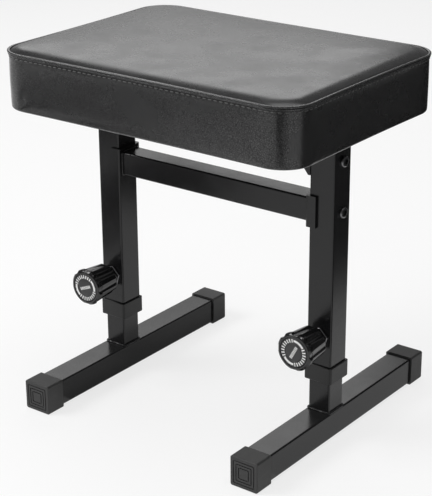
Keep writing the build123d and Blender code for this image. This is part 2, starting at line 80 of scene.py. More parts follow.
# %% [markdown]
# ## Camera
# The view is a long lens from the front right, a little above the seat. Three angles and an offset from a
# point above the floor place it, so that the edges of the model fall where the picture has them. A camera
# in Blender looks along its own -Z, so its matrix has the picture's right, up and backward directions as
# columns.

# %% Place the camera
YAW, PITCH, ROLL = 0.651, 0.380, -0.007
AIM_HEIGHT = 0.2331
ACROSS, BELOW, AHEAD = 0.0125, -0.0408, 1.7882
FOCAL_PIXELS = 1535.4
PICTURE_TALL = 496
SENSOR_MM = 36.0

forward = Vector((-sin(YAW) * cos(PITCH), cos(YAW) * cos(PITCH), -sin(PITCH)))
level_right = Vector((cos(YAW), sin(YAW), 0))
level_down = forward.cross(level_right)
picture_right = cos(ROLL) * level_right - sin(ROLL) * level_down
picture_down = sin(ROLL) * level_right + cos(ROLL) * level_down
camera_place = Vector((0, 0, AIM_HEIGHT)) - ACROSS * picture_right - BELOW * picture_down - AHEAD * forward

camera = bpy.data.objects.new("camera", bpy.data.cameras.new("camera"))
camera.data.sensor_width = SENSOR_MM
camera.data.lens = FOCAL_PIXELS * SENSOR_MM / PICTURE_TALL
turn = Matrix((picture_right, -picture_down, -forward)).transposed()
camera.matrix_world = Matrix.Translation(camera_place) @ turn.to_4x4()
scene.collection.objects.link(camera)
scene.camera = camera
print("camera at", [round(c, 3) for c in camera_place], "lens", round(camera.data.lens, 1))

# %% [markdown]
# ## Studio
# Black pieces show little but what they mirror, so the lamps are softboxes. A wide one behind and above is
# what the top of the seat mirrors, with a dimmer one below it for the tops of the feet. The key lamp stands
# at the front left, one overhead lights the floor, and a small one in front gives glints. The pale floor
# glows for the camera and in reflections. Dark flags round the bench keep a dark side dark and draw a line
# down a round corner. Two dim mats are painted shade: they lie where the feet mirror the floor, in place of
# the shade on the floor beside them. The camera sees neither flags nor mats, and they cast no shadow.

# %% Lamps and world
SEAT_MIDDLE = (0, -0.0155, 0.40)
WORLD_STRENGTH = 0.22
# Each lamp: place, aim, width, height, watts
LAMPS = {
    "back_softbox": ((-1.49, 1.65, 1.50), SEAT_MIDDLE, 1.4, 0.95, 6.6),
    "low_softbox": ((-1.49, 1.65, 0.72), SEAT_MIDDLE, 1.4, 0.6, 0.8),
    "key_softbox": ((-1.35, -1.25, 1.85), (0, 0, 0.25), 1.2, 1.2, 36),
    "top_softbox": ((0.2, 0.1, 2.4), (0, 0, 0), 1.8, 1.8, 24),
    "rim_softbox": ((0.30, -1.50, 1.95), (0, -0.08, 0.13), 0.3, 0.3, 2.4),
}


def softbox(name, place, aim, wide, tall, power):
    """A rectangular lamp whose -Z axis points from its place to its aim."""
    lamp = bpy.data.lights.new(name, "AREA")
    lamp.shape = "RECTANGLE"
    lamp.size, lamp.size_y, lamp.energy = wide, tall, power
    box = bpy.data.objects.new(name, lamp)
    box.rotation_euler = (Vector(aim) - Vector(place)).to_track_quat("-Z", "Y").to_euler()
    box.location = place
    scene.collection.objects.link(box)


for name, values in LAMPS.items():
    softbox(name, *values)
world = bpy.data.worlds.new("studio")
scene.world = world
world.use_nodes = True
background = world.node_tree.nodes["Background"].inputs
background["Color"].default_value = (1, 1, 1, 1)
background["Strength"].default_value = WORLD_STRENGTH
print("lamps:", len(LAMPS))

# %% Helpers that add nodes
def put(tree, kind, inputs=(), **options):
    """Add a node, set its options, then link or set each of its named or numbered inputs."""
    node = tree.nodes.new(kind)
    for option, value in options.items():
        setattr(node, option, value)
    for socket, value in dict(inputs).items():
        if isinstance(value, bpy.types.NodeSocket):
            tree.links.new(value, node.inputs[socket])
        else:
            node.inputs[socket].default_value = value
    return node


def combine(tree, operation, first, second):
    """One Math node: the result of an operation on two values."""
    return put(tree, "ShaderNodeMath", {0: first, 1: second}, operation=operation).outputs[0]


print("node helpers ready")

# %% Floor
STUDIO_ROUGHNESS = 0.9
FLOOR_REACH, FLOOR_LEVEL = 60.0, -0.0003
FLOOR_GREY, FLOOR_GLOW = 0.90, 0.75


def flat_sheet(name, corners, material):
    """One four-sided face, for the floor, a flag or a mat."""
    mesh = bpy.data.meshes.new(name)
    mesh.from_pydata(corners, [], [(0, 1, 2, 3)])
    mesh.materials.append(material)
    sheet = bpy.data.objects.new(name, mesh)
    scene.collection.objects.link(sheet)
    sheet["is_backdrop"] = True
    return sheet


def level_corners(near, far, front, rear, level):
    """The corners of a level rectangle."""
    return [(near, front, level), (far, front, level), (far, rear, level), (near, rear, level)]


def grey_paint(name, grey):
    """A dull studio surface of one grey."""
    material = bpy.data.materials.new(name)
    material.use_nodes = True
    shader = material.node_tree.nodes["Principled BSDF"]
    shader.inputs["Base Color"].default_value = (grey, grey, grey, 1)
    shader.inputs["Roughness"].default_value = STUDIO_ROUGHNESS
    return material


def glowing_paint(name, grey, glow):
    """Paint mixed with a white glow that lights nothing, because only camera, glossy and transmission rays
    see it. The paint keeps the shadow."""
    material = grey_paint(name, grey)
    tree = material.node_tree
    rays = put(tree, "ShaderNodeLightPath").outputs
    seen = combine(tree, "MAXIMUM", rays["Is Camera Ray"], rays["Is Glossy Ray"])
    seen = combine(tree, "MAXIMUM", seen, rays["Is Transmission Ray"])
    share = combine(tree, "MULTIPLY", seen, glow)
    paint = tree.nodes["Principled BSDF"].outputs[0]
    white = put(tree, "ShaderNodeEmission").outputs[0]
    blend = put(tree, "ShaderNodeMixShader", {0: share, 1: paint, 2: white})
    tree.links.new(blend.outputs[0], tree.nodes["Material Output"].inputs["Surface"])
    return material


flat_sheet("floor", level_corners(-FLOOR_REACH, FLOOR_REACH, -FLOOR_REACH, FLOOR_REACH, FLOOR_LEVEL),
           glowing_paint("pale_floor", FLOOR_GREY, FLOOR_GLOW))
print("floor reaches", FLOOR_REACH, "m each way")

# %% Flags and mats
# Each flag: where its foot starts and ends, height, grey
FLAGS = {
    "right_flag": ((0.39, -0.11), (0.39, 0.45), 0.40, 0.1),
    "back_flag": ((0.39, 0.45), (0.08, 0.45), 0.40, 0.02),
    "left_flag": ((-0.42, -0.26), (-0.42, -0.66), 0.125, 0.09),
    "far_flag": ((-0.76, -0.50), (-0.76, -1.35), 0.17, 0.004),
    "front_flag": ((0.41, -1.142), (0.84, -0.914), 0.40, 0.004),
}
# Each mat, painted shade that the feet mirror instead of the shaded floor: its two long edges, grey, glow
SHADE_MATS = {
    "left_foot_shade_mat": (-0.134, -0.060, 0.4, 0.24),
    "right_foot_shade_mat": (0.170, 0.218, 0.3, 0.60),
}
MAT_FRONT, MAT_REAR, MAT_LEVEL = -0.129, 0.22, 0.0005

mirrored = []
for name, (start, end, tall, grey) in FLAGS.items():
    corners = [(*start, 0), (*end, 0), (*end, tall), (*start, tall)]
    mirrored.append(flat_sheet(name, corners, grey_paint(name, grey)))
# The mats are painted shade: dim sheets that the feet mirror where the floor beside them lies in shade.
for name, (near, far, grey, glow) in SHADE_MATS.items():
    corners = level_corners(near, far, MAT_FRONT, MAT_REAR, MAT_LEVEL)
    mirrored.append(flat_sheet(name, corners, glowing_paint(name, grey, glow)))
for sheet in mirrored:
    sheet.visible_camera = sheet.visible_diffuse = sheet.visible_shadow = False
print("sheets that only reflections show:", len(mirrored))

# %% [markdown]
# ## Shader groups
# Every black surface here has two things in common: a fine relief that breaks up its reflections, and the
# traces of use. A node group holds each of them once, and a finish places the group with its own numbers.
# The groups read Object coordinates, which are metres here, so that a scale of 1000 means one cell a
# millimetre.

# %% Helpers for groups
MIX_SOCKETS = {"FLOAT": (2, 3, 0), "VECTOR": (4, 5, 1), "RGBA": (6, 7, 2)}


def mix(tree, kind, share, first, second):
    """One Mix node of a kind: the first value, then more of the second as the share goes from 0 to 1."""
    a, b, out = MIX_SOCKETS[kind]
    return put(tree, "ShaderNodeMix", {0: share, a: first, b: second}, data_type=kind).outputs[out]


def noise(tree, spot, per_metre, detail, output="Fac"):
    """One Noise node: cells per metre, and how many layers of finer noise lie on them."""
    inputs = {"Vector": spot, "Scale": per_metre, "Detail": detail}
    return put(tree, "ShaderNodeTexNoise", inputs).outputs[output]


def spread(tree, value, low, high, start=0.0, end=1.0, **options):
    """One Map Range node: a value between low and high becomes one between start and end."""
    inputs = {"Value": value, "From Min": low, "From Max": high, "To Min": start, "To Max": end}
    return put(tree, "ShaderNodeMapRange", inputs, **options).outputs["Result"]


def start_group(name, inputs, outputs):
    """A shader group with float inputs and outputs, and the Object coordinates in it."""
    tree = bpy.data.node_groups.new(name, "ShaderNodeTree")
    for way, labels in (("INPUT", inputs), ("OUTPUT", outputs)):
        for label in labels:
            tree.interface.new_socket(label, in_out=way, socket_type="NodeSocketFloat")
    spot = put(tree, "ShaderNodeTexCoord").outputs["Object"]
    return tree, spot, tree.nodes.new("NodeGroupInput").outputs, tree.nodes.new("NodeGroupOutput").inputs


print("group helpers ready")

# %% Fine relief: pebbles for vinyl and rubber, orange peel for paint
PEBBLE_BEND, PEBBLE_SHOULDER = 0.0016, 0.32

pebble_grain, spot, given, result = start_group(
    "pebble_grain", ("Pebbles per metre", "Pore share"), ("Height", "Mottle"))
bend = noise(pebble_grain, spot, per_metre=220.0, detail=1.0, output="Color")
bent = mix(pebble_grain, "VECTOR", PEBBLE_BEND, spot, bend)
cells = put(pebble_grain, "ShaderNodeTexVoronoi", {"Vector": bent, "Scale": given["Pebbles per metre"]},
            feature="DISTANCE_TO_EDGE").outputs["Distance"]
domes = spread(pebble_grain, cells, 0.0, PEBBLE_SHOULDER, interpolation_type="SMOOTHSTEP")
pores = noise(pebble_grain, spot, per_metre=2600.0, detail=2.0)
height = mix(pebble_grain, "FLOAT", given["Pore share"], domes, pores)
pebble_grain.links.new(height, result["Height"])
pebble_grain.links.new(noise(pebble_grain, spot, per_metre=28.0, detail=4.0), result["Mottle"])

orange_peel, spot, given, result = start_group(
    "orange_peel", ("Bumps per metre", "Speck share"), ("Height", "Mottle"))
peel = noise(orange_peel, spot, per_metre=given["Bumps per metre"], detail=1.5)
speck = noise(orange_peel, spot, per_metre=3200.0, detail=1.0)
height = mix(orange_peel, "FLOAT", given["Speck share"], peel, speck)
orange_peel.links.new(height, result["Height"])
orange_peel.links.new(noise(orange_peel, spot, per_metre=45.0, detail=5.0), result["Mottle"])
print("relief groups:", pebble_grain.name, orange_peel.name)

# %% Traces of use: settled dust on what faces up, and fine rubs
DUST_SLOPE = 0.35
RUB_CELLS = (900.0, 70.0, 140.0)
RUB_FROM, RUB_FULL = 0.60, 0.78

use_traces, spot, given, result = start_group("use_traces", ("Dust", "Rubs"), ("Dust", "Rubs"))
normal = put(use_traces, "ShaderNodeNewGeometry").outputs["Normal"]
facing_up = put(use_traces, "ShaderNodeSeparateXYZ", {0: normal}).outputs["Z"]
level = spread(use_traces, facing_up, DUST_SLOPE, 1.0)
settled = combine(use_traces, "MULTIPLY", level, noise(use_traces, spot, per_metre=60.0, detail=6.0))
drawn_out = put(use_traces, "ShaderNodeMapping", {"Vector": spot, "Scale": RUB_CELLS}).outputs["Vector"]
thin = spread(use_traces, noise(use_traces, drawn_out, per_metre=1.0, detail=3.0), RUB_FROM, RUB_FULL)
use_traces.links.new(combine(use_traces, "MULTIPLY", settled, given["Dust"]), result["Dust"])
use_traces.links.new(combine(use_traces, "MULTIPLY", thin, given["Rubs"]), result["Rubs"])
print("trace group:", use_traces.name)

# %% [markdown]
# ## Finishes
# One function writes a finish from the groups: the colour drifts a little with the mottle, dust and rubs
# make it paler, dust also rougher, and the relief goes to a Bump node. The vinyl of the band has a coat too,
# which shines on the tops of the pebbles and not between them: painted shade in the hollows. What is the
# same all over, such as the metal share, is set on the shader itself.

# %% One function for the finishes
DUST_COLOR = (0.30, 0.29, 0.28, 1)
RUB_COLOR = (0.16, 0.16, 0.16, 1)
ROUGH_DRIFT, DUST_ROUGHENS = 0.16, 0.5
MOTTLE_LOW, MOTTLE_HIGH = 0.3, 0.7


def finish(name, color, relief, roughness, depth_mm, dust, rubs, drift, shader_values=(), hollow_shade_coat=0.0):
    """Colour times one plus the mottle's drift, then dust and rubs mixed in; roughness rises with the mottle
    and the dust. A coat lies on the tops of the relief and thins out to nothing in its hollows: painted
    shade there."""
    material = bpy.data.materials.new(name)
    material.use_nodes = True
    tree = material.node_tree
    shader = tree.nodes["Principled BSDF"]
    group, *values = relief
    texture = put(tree, "ShaderNodeGroup", enumerate(values), node_tree=group).outputs
    traces = put(tree, "ShaderNodeGroup", {"Dust": dust, "Rubs": rubs}, node_tree=use_traces).outputs
    darker, paler = (tuple(c * k for c in color) + (1,) for k in (1 - drift, 1 + drift))
    paint = mix(tree, "RGBA", texture["Mottle"], darker, paler)
    dusty = mix(tree, "RGBA", traces["Dust"], paint, DUST_COLOR)
    rubbed = mix(tree, "RGBA", traces["Rubs"], dusty, RUB_COLOR)
    tree.links.new(rubbed, shader.inputs["Base Color"])
    change = ROUGH_DRIFT * drift
    cloud = spread(tree, texture["Mottle"], MOTTLE_LOW, MOTTLE_HIGH, roughness - change, roughness + change)
    rough = combine(tree, "ADD", cloud, combine(tree, "MULTIPLY", traces["Dust"], DUST_ROUGHENS))
    tree.links.new(rough, shader.inputs["Roughness"])
    relief_inputs = {"Height": texture["Height"], "Strength": 1.0, "Distance": depth_mm * MM}
    bump = put(tree, "ShaderNodeBump", relief_inputs)
    tree.links.new(bump.outputs["Normal"], shader.inputs["Normal"])
    # The coat follows the relief's height, so the hollows shine less: painted shade.
    if hollow_shade_coat:
        coat = combine(tree, "MULTIPLY", texture["Height"], hollow_shade_coat)
        tree.links.new(coat, shader.inputs["Coat Weight"])
    for label, value in dict(shader_values).items():
        shader.inputs[label].default_value = value
    return material


print("finish function ready")

# %% The finishes of this bench
# Each relief: its group, then what the group's two inputs are given
COAT_PEEL = orange_peel, 700.0, 0.25
MOULD_PEEL = orange_peel, 1500.0, 0.6
GLOSS_PEEL = orange_peel, 160.0, 0.02
WOOD_PEEL = orange_peel, 90.0, 0.1
RUBBER_GRAIN = pebble_grain, 1100.0, 0.6
VINYL_GRAIN = pebble_grain, 500.0, 0.3
STRETCHED_GRAIN = pebble_grain, 420.0, 0.5
VINYL_BLACK = (0.013, 0.013, 0.0135)

# Each finish: colour, relief, roughness, depth of the relief in mm, dust, rubs and drift, then other values
# of the shader and the coat that paints shade into the relief's hollows, where it has them
FINISHES = {
    "powder_coat": ((0.008, 0.008, 0.0085), COAT_PEEL, 0.22, 0.008, 0.02, 0.02, 0.15,
                    {"Specular IOR Level": 0.38}),
    "black_zinc": ((0.16, 0.16, 0.165), COAT_PEEL, 0.24, 0.02, 0.02, 0.2, 0.25, {"Metallic": 1.0}),
    "bright_zinc": ((0.55, 0.56, 0.57), COAT_PEEL, 0.3, 0.02, 0.02, 0.2, 0.25, {"Metallic": 1.0}),
    "moulded_black": ((0.011, 0.011, 0.011), MOULD_PEEL, 0.42, 0.02, 0.02, 0.04, 0.25,
                      {"Specular IOR Level": 0.42}),
    "cap_rubber": ((0.032, 0.032, 0.032), RUBBER_GRAIN, 0.55, 0.05, 0.03, 0.08, 0.25),
    "knob_gloss": ((0.006, 0.006, 0.0065), GLOSS_PEEL, 0.10, 0.01, 0.01, 0.03, 0.25, {"IOR": 1.55}),
    "knob_satin": ((0.03, 0.03, 0.031), MOULD_PEEL, 0.38, 0.02, 0.05, 0.05, 0.25),
    "dial_white": ((0.92, 0.92, 0.91), MOULD_PEEL, 0.45, 0.01, 0.0, 0.02, 0.05),
    # The band's vinyl carries the coat whose gaps in the pebbles' hollows are painted shade.
    "black_vinyl": (VINYL_BLACK, VINYL_GRAIN, 0.27, 0.045, 0.01, 0.0, 0.2,
                    {"Specular IOR Level": 0.25, "Coat IOR": 1.75, "Coat Roughness": 0.27}, 0.9),
    "stretched_vinyl": (VINYL_BLACK, STRETCHED_GRAIN, 0.27, 0.03, 0.01, 0.0, 0.3,
                        {"Specular IOR Level": 0.56}),
    "seam_thread": ((0.09, 0.09, 0.09), RUBBER_GRAIN, 0.5, 0.05, 0.0, 0.0, 0.25),
    "plywood": ((0.42, 0.29, 0.17), WOOD_PEEL, 0.6, 0.1, 0.03, 0.05, 0.3),
    "dust_cloth": ((0.022, 0.022, 0.022), STRETCHED_GRAIN, 0.85, 0.15, 0.03, 0.05, 0.25),
}
finishes = {name: finish(name, *values) for name, values in FINISHES.items()}
print("finishes:", len(finishes))

# %% Which CAD pieces wear them
worn_by = {
    "powder_coat": ("foot_tube", "post", "upright", "crossbar", "crossbar_channel", "seat_bracket"),
    "black_zinc": ("pin_housing", "frame_bolts", "frame_nuts", "seat_bracket_screws"),
    "bright_zinc": ("pin", "pin_spring", "knob_screw", "seat_t_nuts"),
    "moulded_black": ("collar", "post_guide"),
    "cap_rubber": ("front_cap", "rear_cap"),
    "plywood": ("seat_board",),
    "dust_cloth": ("seat_dust_cover",),
    "black_vinyl": ("seat_top_panel", "seat_side_band", "seat_welt", "seat_foam"),
    "knob_gloss": ("knob",),
    "knob_satin": ("knob_face",),
}
finish_of = {piece: finishes[worn] for worn, pieces in worn_by.items() for piece in pieces}
for name, node in nodes.items():
    piece = name.removeprefix("left_").removeprefix("right_")
    node.data.materials.clear()
    node.data.materials.append(finish_of[piece])
print("finishes on CAD pieces:", len(worn_by), "on", len(nodes), "pieces")

# %% [markdown]
# ## Meshes from arrays
# A surface here is a grid of points: rows along one parameter, columns along the other. One helper joins
# neighbouring rows and columns with quads, and closes the grid where an end meets its start. Another carries
# a profile along a path, which makes piping and hem.

# %% Helpers that make meshes
def grid_faces(rows, columns, close_rows=False, close_columns=True):
    """Quads between point (r, c) and its neighbours at r + 1 and c + 1, wrapping round where closed."""
    r = np.arange(rows if close_rows else rows - 1)[:, None]
    c = np.arange(columns if close_columns else columns - 1)[None, :]
    over, on = (r + 1) % rows, (c + 1) % columns
    quads = np.stack([r * columns + c, r * columns + on, over * columns + on, over * columns + c], axis=-1)
    return quads.reshape(-1, 4)


def capped_tube(rings, sides):
    """Quads along a tube and across both ends, where each joins a pair of points and the next pair."""
    k = np.arange(sides // 2 - 1)
    across = np.stack([k, k + 1, sides - 2 - k, sides - 1 - k], axis=1)
    return np.concatenate([grid_faces(rings, sides), across[:, ::-1], across + (rings - 1) * sides])


def repeated(faces, count, points_each):
    """The same faces for several equal shapes whose points follow one another."""
    return (faces[None] + (np.arange(count) * points_each)[:, None, None]).reshape(-1, 4)


def make_piece(name, points, faces, worn, body, smooth=True):
    """A new object from arrays of points and quads. It wears a finish, and moves with a body if one is given."""
    mesh = bpy.data.meshes.new(name)
    mesh.from_pydata(np.reshape(points, (-1, 3)), [], faces, shade_flat=not smooth)
    mesh.validate()
    mesh.materials.append(finishes[worn])
    piece = bpy.data.objects.new(name, mesh)
    scene.collection.objects.link(piece)
    if body:
        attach(piece, body)
    return piece


print("mesh helpers ready")

# %% Helpers for points and ways
UP = np.array([0.0, 0.0, 1.0])


def node_box(name):
    """The low and the high corner of a CAD piece."""
    low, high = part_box(name)
    return np.array(low), np.array(high)


def unit(vectors):
    """The same directions with length one."""
    return vectors / np.linalg.norm(vectors, axis=-1, keepdims=True)


def full_circle(count):
    """Even angles once round."""
    return np.linspace(0, 2 * pi, count, endpoint=False)


def heading(angle):
    """Flat directions at these angles."""
    return np.stack([np.cos(angle), np.sin(angle)], axis=-1)


def quarter_turn(way):
    """Flat directions turned to their left."""
    return np.stack([-way[..., 1], way[..., 0]], axis=-1)


def circles(first, second, sides):
    """Circles of radius one: cosine times the first direction plus sine times the second."""
    around = full_circle(sides)[:, None]
    return first[..., None, :] * np.cos(around) + second[..., None, :] * np.sin(around)


def at_height(xy, z):
    """Plan points at one height."""
    return np.concatenate([xy, np.full((len(xy), 1), z)], axis=1)


def carry(xy, z, out, profile):
    """A profile of (outward, upward) offsets at every point of a level path."""
    return at_height(xy, z)[:, None] + profile[:, :1] * at_height(out, 0.0)[:, None] + profile[:, 1:] * UP


def way_round(loop):
    """The way along a closed loop to each of its points, and its whole length."""
    step = np.linalg.norm(np.roll(loop, -1, axis=0) - loop, axis=1)
    return np.concatenate([[0], np.cumsum(step)[:-1]]), step.sum()


def way_from(way, places, length):
    """The signed way from each place to each point of a closed loop, the shorter way round."""
    return (way[:, None] - places + length / 2) % length - length / 2


def read_along(values, places, way, length):
    """Values on a closed loop, read between its points at places along it."""
    closed = np.concatenate([values, values[:1]])
    closed_way = np.append(way, length)
    return np.stack([np.interp(places % length, closed_way, column) for column in closed.T], axis=1)


print("point helpers ready")

# %% [markdown]
# ## Cushion
# The real seat is a block of foam on a board, in a vinyl cover sewn from a top panel and a side band, with
# a thin piping cord in the seam. CAD has the block. Here the cover is one closed grid: a square mesh is
# stretched over the rounded plan so that its rim is the seam, the band hangs from the rim, and a flat sheet
# closes it below. It starts a little flat and is blown up by a cloth simulation that holds the seam and the
# bottom, so the panel rises and the band swells as stuffed vinyl does.

# %% Plan of the seat
BAND_SWELL = 1.0 * MM
CORNER = 35.0 * MM
SIDE_DRAW = 1.5 * MM
COLUMNS_X, COLUMNS_Y, CROWDING = 96, 72, 0.6
band_low, band_high = node_box("seat_side_band")
welt_low, welt_high = node_box("seat_welt")
SEAT_X, SEAT_Y = (band_high - band_low)[:2] / 2 - BAND_SWELL
SEAT_CENTRE = (band_low + band_high)[:2] / 2
SEAM_LEVEL = (welt_low[2] + welt_high[2]) / 2
SEAT_BOTTOM = band_low[2]


def crowded(count):
    """Steps from -1 to 1 that close up towards both ends: even steps mixed with a sine."""
    t = np.linspace(-1, 1, count + 1)
    return (1 - CROWDING) * t + CROWDING * np.sin(pi * t / 2)


def edge_run(w, half, other):
    """Along one side, w from -1 to 1 goes from corner middle to corner middle: straight, then round the arc.
    The straight part is drawn in between the corners by a parabola."""
    straight = half - CORNER
    way = w * (straight + CORNER * pi / 4)
    angle = np.clip((np.abs(way) - straight) / CORNER, 0, pi / 4)
    along = np.sign(w) * (np.minimum(np.abs(way), straight) + CORNER * np.sin(angle))
    draw = SIDE_DRAW * np.clip(1 - (way / straight) ** 2, 0, 1)
    outward = other - CORNER + CORNER * np.cos(angle) - draw
    return along, outward, np.sign(w) * np.sin(angle), np.cos(angle)


def seat_plan(u, v):
    """Square (u, v) to seat plan: the larger of |u| and |v| is the share of the way out, and the point of the
    rim in that direction is on the long or the short side. Also gives the rim's outward direction there."""
    share = np.maximum(np.maximum(np.abs(u), np.abs(v)), 1e-9)
    long_side = np.abs(v) >= np.abs(u)
    ax, ay, anx, any_ = edge_run(np.where(long_side, u / share, 0), SEAT_X, SEAT_Y)
    by, bx, bny, bnx = edge_run(np.where(long_side, 0, v / share), SEAT_Y, SEAT_X)
    rim_x, rim_y = np.where(long_side, ax, np.sign(u) * bx), np.where(long_side, np.sign(v) * ay, by)
    out_x, out_y = np.where(long_side, anx, np.sign(u) * bnx), np.where(long_side, np.sign(v) * any_, bny)
    return np.stack([rim_x, rim_y], axis=-1), np.stack([out_x, out_y], axis=-1), share[..., None]


def inset_from_edge(xy, half=(SEAT_X, SEAT_Y)):
    """Distance of a plan point inside a rounded rectangle of these half sizes, as a rule the seat's."""
    q = np.abs(xy) - (np.array(half) - CORNER)
    return CORNER - np.linalg.norm(np.maximum(q, 0), axis=-1) - np.minimum(q.max(axis=-1), 0)


square_u, square_v = np.meshgrid(crowded(COLUMNS_X), crowded(COLUMNS_Y), indexing="ij")
rim_xy, rim_out, share_out = seat_plan(square_u, square_v)
square_index = np.arange(square_u.size).reshape(square_u.shape)
rim_index = np.concatenate([square_index[:-1, 0], square_index[-1, :-1],
                            square_index[:0:-1, -1], square_index[0, :0:-1]])
print("rim points:", len(rim_index))

# %% Points of the cover
EDGE_RISE, EDGE_REACH, EDGE_POWER = 5.2 * MM, 18.0 * MM, 2.2
MIDDLE_RISE, MIDDLE_POWER = 2.2 * MM, 2.5
SEAM_TUCK, TUCK_FADE = 1.5 * MM, 1.4 * MM
HEM_ROUND = 2.5 * MM
BAND_START_SWELL = 0.3 * MM
BAND_STEPS = np.array([0.9, 2.0, 3.2, 4.4, 6.2, 9, 13, 18, 23, 28, 33, 38, 43, 48, 53, 57, 60.5]) * MM
HEM_TURN = np.radians([0, 22.5, 45, 67.5])


def crown(inset):
    """Height over the seam, the sum of two rises: a quick one over the rolled edge and a slow one to the
    middle. Each is one minus a power of the way that is left."""
    edge = EDGE_RISE * (1 - (1 - np.clip(inset / EDGE_REACH, 0, 1)) ** EDGE_POWER)
    return edge + MIDDLE_RISE * (1 - (1 - np.clip(inset / SEAT_Y, 0, 1)) ** MIDDLE_POWER)


panel_xy = share_out * (rim_xy - SEAM_TUCK * rim_out)
panel_z = SEAM_LEVEL + crown(inset_from_edge(panel_xy))
panel = np.concatenate([panel_xy + SEAT_CENTRE, panel_z[..., None]], axis=-1)
ring_xy = rim_xy.reshape(-1, 2)[rim_index]
ring_out = rim_out.reshape(-1, 2)[rim_index]
band_height = SEAM_LEVEL - SEAT_BOTTOM

tuck = SEAM_TUCK * np.exp(-BAND_STEPS / TUCK_FADE)
swell = BAND_START_SWELL * np.sin(pi * BAND_STEPS / band_height)
row_out = np.concatenate([swell - tuck, -HEM_ROUND * (1 - np.cos(HEM_TURN))])
row_z = np.concatenate([SEAM_LEVEL - BAND_STEPS, SEAT_BOTTOM + HEM_ROUND * (1 - np.sin(HEM_TURN))])
band_xy = ring_xy[None] + row_out[:, None, None] * ring_out[None] + SEAT_CENTRE
band = np.concatenate([band_xy, np.broadcast_to(row_z[:, None, None], band_xy.shape[:2] + (1,))], axis=-1)

under_xy = share_out * (rim_xy - HEM_ROUND * rim_out) + SEAT_CENTRE
under = np.concatenate([under_xy, np.full(share_out.shape, SEAT_BOTTOM)], axis=-1)

panel_count, ring_count, band_rows = square_u.size, len(rim_index), len(row_z)
under_first = panel_count + band_rows * ring_count
cover_points = np.concatenate([panel.reshape(-1, 3), band.reshape(-1, 3), under.reshape(-1, 3)])
print("cover points:", len(cover_points))

# %% Faces of the cover
square_faces = grid_faces(COLUMNS_X + 1, COLUMNS_Y + 1, close_columns=False)
band_index = panel_count + np.arange(band_rows * ring_count).reshape(band_rows, -1)
rings = np.concatenate([rim_index[None], band_index, under_first + rim_index[None]])
next_rings = np.roll(rings, -1, axis=1)
side_faces = np.stack([rings[:-1], rings[1:], next_rings[1:], next_rings[:-1]], axis=-1).reshape(-1, 4)
cover_faces = np.concatenate([square_faces[:, ::-1], side_faces, square_faces + under_first])
cover = make_piece("seat_cover", cover_points, cover_faces, "black_vinyl", "seat_frame")
cover.data.materials.append(finishes["stretched_vinyl"])
on_panel = np.arange(len(cover_faces)) < len(square_faces)
cover.data.polygons.foreach_set("material_index", on_panel.astype(np.int32))
print("cover faces:", len(cover_faces))

# %% Blow the cover up
LAST_FRAME = 20
MOST_MOVE = 0.7 * MM
CALMING_PASSES = 60
CLOTH = {"use_pressure": True, "uniform_pressure_force": 4.0, "quality": 6, "mass": 0.3,
         "tension_stiffness": 25, "compression_stiffness": 25, "shear_stiffness": 15,
         "bending_stiffness": 1.5}


def read_points(mesh):
    """All points of a mesh as one array."""
    flat = np.empty(len(mesh.vertices) * 3, np.float32)
    mesh.vertices.foreach_get("co", flat)
    return flat.reshape(-1, 3).astype(float)


def blow_up(piece, held):
    """Cloth with pressure inside and no gravity. A point's move levels off at a set way, as tanh does."""
    group = piece.vertex_groups.new(name="held")
    group.add([int(i) for i in held], 1.0, "REPLACE")
    cloth = piece.modifiers.new("stuffing", "CLOTH")
    cloth.settings.vertex_group_mass = "held"
    for label, value in CLOTH.items():
        setattr(cloth.settings, label, value)
    cloth.settings.effector_weights.gravity = 0
    cloth.point_cache.frame_start, cloth.point_cache.frame_end = 1, LAST_FRAME
    start = read_points(piece.data)
    for number in range(1, LAST_FRAME + 1):
        scene.frame_set(number)
    blown = read_points(piece.evaluated_get(bpy.context.evaluated_depsgraph_get()).data)
    piece.modifiers.remove(cloth)
    piece.vertex_groups.remove(group)
    scene.frame_set(1)
    move = blown - start
    size = np.linalg.norm(move, axis=1, keepdims=True)
    return start + move * MOST_MOVE * np.tanh(size / MOST_MOVE) / np.maximum(size, 1e-9), size.max()


def calmed(field):
    """The inner values of a grid, each replaced by the mean of its four neighbours, over and over."""
    for _ in range(CALMING_PASSES):
        field[1:-1, 1:-1] = (field[:-2, 1:-1] + field[2:, 1:-1] + field[1:-1, :-2] + field[1:-1, 2:]) / 4
    return field


held_points = np.concatenate([rim_index, np.arange(under_first - ring_count, len(cover_points))])
cover_now = read_points(cover.data)
cover_now, most = blow_up(cover, held_points)
panel_move = (cover_now - cover_points)[:panel_count].reshape(panel.shape)
cover_now[:panel_count] = cover_points[:panel_count] + calmed(panel_move).reshape(-1, 3)
print("cloth moved at most", round(most / MM, 2), "mm before the limit")

# %% [markdown]
# ### What the needle and the corners add
# A band of vinyl can't turn a corner without a small upright fold, and a sewn band is never quite flat. Both
# are added after the simulation, as offsets along the rim's outward direction. The panel gets very shallow
# waves, and the sheet that closes the cover below is lifted off the hem.

# %% Folds at the corners and slow waves
FOLD_DEPTH = np.array([0.6, 0.2, 0.6, 0.7]) * MM
FOLD_SHIFT = np.array([2.0, -5.0, 3.0, -2.0]) * MM
FOLD_HALF, RIDGE_AWAY, RIDGE_HALF, RIDGE_SHARE = 3.0 * MM, 9.0 * MM, 4.5 * MM, 0.45
# Each wave of the band: how many go round the rim, phase, share of the height
WAVE_HEIGHT, BAND_WAVES = 0.20 * MM, ((5, 0.6, 1.0), (11, 2.1, 0.6), (23, 0.0, 0.4))
# Each wave of the panel: radians a metre along X and along Y, phase, share of the height
PANEL_WAVE, PANEL_WAVES = 0.05 * MM, ((31, 9, 0.0, 1.0), (-13, 47, 1.3, 0.7))
PANEL_FADE = 40 * MM
BOARD_CLEAR, FADE, FULLNESS_POWER = 15.0 * MM, 12.0 * MM, 0.7
MOST_SUNK = 0.2 * MM
UNDER_INSET, UNDER_LIFT = 8 * MM, 1.6 * MM

